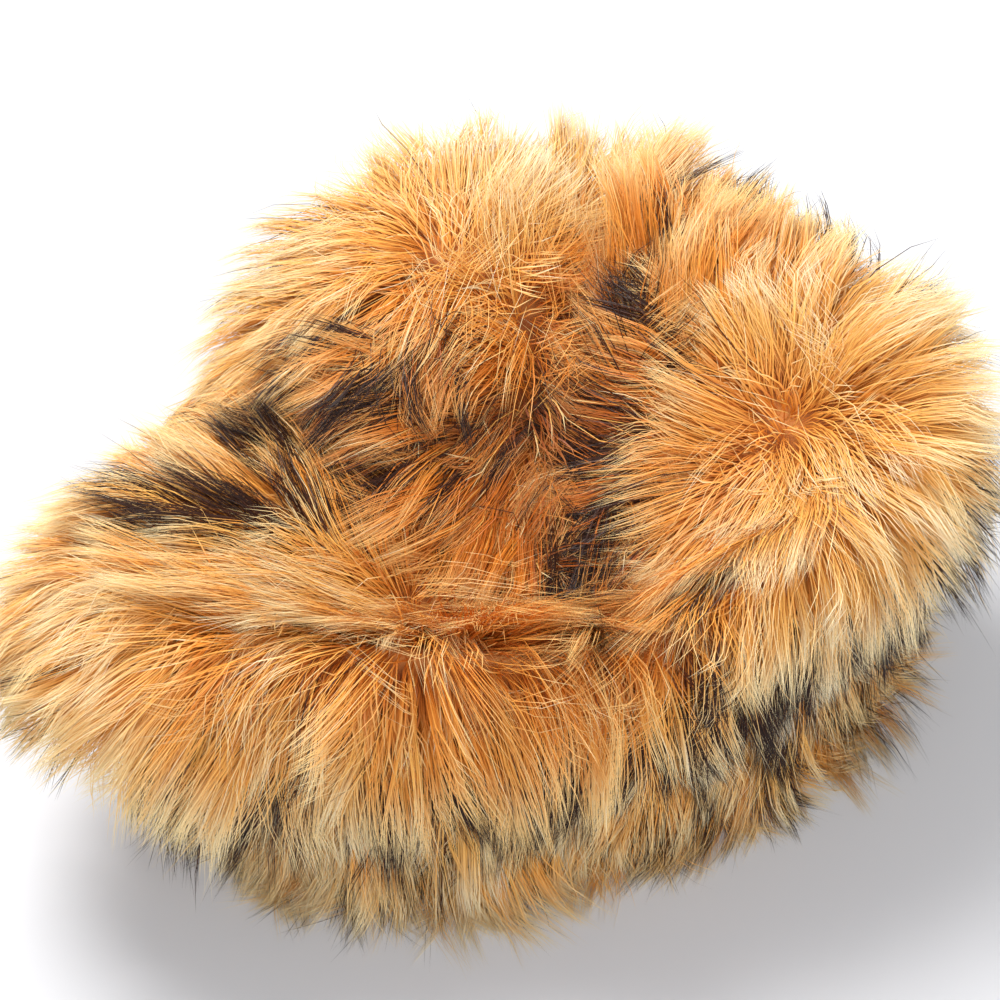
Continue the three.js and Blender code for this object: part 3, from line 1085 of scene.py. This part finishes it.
QUARTERS = {"back": 45.0, "left": 135.0, "front": 225.0, "right": 315.0}
HALVES = {"back": 0.0, "front": 180.0}
for name, start in QUARTERS.items():
    chosen = sector(crown_over, start, 90)
    hairs("crown_fur_" + name, crown_over, chosen, HAIR_WIDTH)
for name, start in HALVES.items():
    chosen = sector(crown_under, start, 180)
    hairs("crown_underfur_" + name, crown_under, chosen, UNDER_WIDTH)
    chosen = sector(band_over, start, 180)
    hairs("band_fur_" + name, band_over, chosen, HAIR_WIDTH)
hairs("band_underfur", band_under, sector(band_under, 0, 360), UNDER_WIDTH)

# %% [markdown]
# ## Knitted backing
#
# The fur is knitted into a thin, flat backing, which is what shows inside the hat and along its
# cut rim. Its stitches are about 2 mm, too many to model. A wave texture in the cloth's own space
# lifts the ribs with bump, and needs no unwrapping. The same wave paints shade in the gaps between
# the ribs and light on their tops.

# %% Material of the backing
STITCH = 2.2
THREAD_IN_SHADE = (150, 82, 34)
THREAD_IN_LIGHT = (206, 132, 66)
RIB_LIFT = 0.4


def backing_material():
    """Knitted ribs: a wave across the cloth lifts the bump, and paints shade in the gaps and light
    on the ribs.
    """
    material = bpy.data.materials.new("knitted_backing")
    material.use_nodes = True
    nodes, links = material.node_tree.nodes, material.node_tree.links
    shader = nodes["Principled BSDF"]
    shader.inputs["Roughness"].default_value = 0.9
    place = nodes.new("ShaderNodeTexCoord")
    ribs = nodes.new("ShaderNodeTexWave")
    ribs.bands_direction = "DIAGONAL"
    ribs.inputs["Scale"].default_value = 0.05 / (STITCH * MM)
    ribs.inputs["Distortion"].default_value = 3.0
    ribs.inputs["Detail"].default_value = 2.0
    links.new(place.outputs["Object"], ribs.inputs["Vector"])
    # Painted shade and light: the ramp runs from the shaded colour in the rib gaps to the lit
    # colour on the ribs.
    rib_shade_ramp = nodes.new("ShaderNodeValToRGB")
    rib_shade_ramp.color_ramp.elements[0].color = linear(*THREAD_IN_SHADE)
    rib_shade_ramp.color_ramp.elements[1].color = linear(*THREAD_IN_LIGHT)
    links.new(ribs.outputs["Fac"], rib_shade_ramp.inputs["Fac"])
    links.new(rib_shade_ramp.outputs["Color"], shader.inputs["Base Color"])
    bump = nodes.new("ShaderNodeBump")
    bump.inputs["Strength"].default_value = RIB_LIFT
    bump.inputs["Distance"].default_value = STITCH * MM / 4
    links.new(ribs.outputs["Fac"], bump.inputs["Height"])
    links.new(bump.outputs["Normal"], shader.inputs["Normal"])
    return material


knit = backing_material()
print("backing material of", len(knit.node_tree.nodes), "nodes")

# %% [markdown]
# The cloth has real thickness, because its cut edge shows at the rim. The solidify modifier would
# give it that, but the surface is already a function, so its two sides are built at once: rings
# up the outside, then down the inside, closed over both edges.

# %% Backing of the crown and the band
BACKING_COLUMNS = 144
UNDER_THE_FUR = 0.2
CROWN_BACKING_DEPTH, BAND_BACKING_DEPTH = 2.4, 2.8


def backing(name, surface, levels, depth, node):
    """A closed wall of knitted cloth, down to a depth under a surface, in place of a node."""
    bearings = np.linspace(0, 360, BACKING_COLUMNS, endpoint=False)
    outside, inside = [], []
    for level in levels:
        level_row = np.full(BACKING_COLUMNS, level)
        points = surface(level_row, bearings)
        normals = facing(surface, level_row, bearings)
        outside.append(points - normals * UNDER_THE_FUR)
        inside.append(points - normals * depth)
    rings = outside + inside[::-1]
    faces = []
    for ring in range(len(rings)):
        below = ring * BACKING_COLUMNS
        above = (ring + 1) % len(rings) * BACKING_COLUMNS
        for i in range(BACKING_COLUMNS):
            j = (i + 1) % BACKING_COLUMNS
            faces.append((below + i, below + j, above + j, above + i))
    mesh = bpy.data.meshes.new(name)
    mesh.from_pydata((np.concatenate(rings) * MM).tolist(), [], faces)
    mesh.update()
    mesh.polygons.foreach_set("use_smooth", np.ones(len(faces), bool))
    mesh.materials.append(knit)
    piece = bpy.data.objects.new(name, mesh)
    bpy.context.scene.collection.objects.link(piece)
    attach(piece, "root")
    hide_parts(node)
    print(name, len(faces), "faces")


crown_levels = np.linspace(0.004, 0.985, 70)
band_levels = np.linspace(0.0, 0.995, 20)
for name, surface, levels, depth, node, slot in (
    ("crown_backing", crown_surface, crown_levels, CROWN_BACKING_DEPTH, "crown", "crown_fur"),
    ("band_backing", band_surface, band_levels, BAND_BACKING_DEPTH, "side_band", "band_fur"),
):
    backing(name, surface, levels, depth, node)

# %% [markdown]
# ## Floor
#
# The hat is shown on a plain pale surface, so that nothing draws the eye from the fur. It is a
# single large square, wide enough to fill the view from every side. It isn't part of the hat.

# %% Lay the floor
FLOOR_SIZE = 6.0
FLOOR_COLOUR = (214, 214, 216)


def pale_floor():
    """A matt square on the ground."""
    mesh = bpy.data.meshes.new("floor")
    half = FLOOR_SIZE / 2
    corners = [(-half, -half, 0), (half, -half, 0), (half, half, 0), (-half, half, 0)]
    mesh.from_pydata(corners, [], [(0, 1, 2, 3)])
    floor = bpy.data.objects.new("floor", mesh)
    bpy.context.scene.collection.objects.link(floor)
    material = bpy.data.materials.new("pale_floor")
    material.use_nodes = True
    shader = material.node_tree.nodes["Principled BSDF"]
    shader.inputs["Base Color"].default_value = linear(*FLOOR_COLOUR)
    shader.inputs["Roughness"].default_value = 0.85
    mesh.materials.append(material)


pale_floor()
print("floor, m across:", FLOOR_SIZE)

# %% [markdown]
# ## Light
#
# Fur looks soft when its main light is large and comes from behind and to one side: the tips glow
# and every tuft casts a shadow on the next. A window does that. A weaker, larger light from the
# front keeps the near side from going dull, and a pale sky fills the rest.

# %% Set the lights
LIGHT_TARGET = (0, 0, 0.06)
SKY_COLOUR = (0.86, 0.88, 0.92, 1)
SKY_STRENGTH = 0.6


def soft_light(name, place, size, power):
    """A round area light that faces the hat."""
    light = bpy.data.objects.new(name, bpy.data.lights.new(name, "AREA"))
    bpy.context.scene.collection.objects.link(light)
    light.data.shape = "DISK"
    light.data.size = size
    light.data.energy = power
    light.location = place
    aim = Vector(LIGHT_TARGET) - Vector(place)
    light.rotation_mode = "QUATERNION"
    light.rotation_quaternion = aim.to_track_quat("-Z", "Y")
    print(name, power, "watts,", size, "m across")


soft_light("window", place=(-0.6, 0.8, 1.7), size=1.0, power=44)
soft_light("fill", place=(0.6, -1.4, 1.4), size=1.6, power=19)
world = bpy.data.worlds.new("studio")
bpy.context.scene.world = world
world.use_nodes = True
world.node_tree.nodes["Background"].inputs["Color"].default_value = SKY_COLOUR
world.node_tree.nodes["Background"].inputs["Strength"].default_value = SKY_STRENGTH
bpy.context.scene.view_settings.view_transform = "Standard"
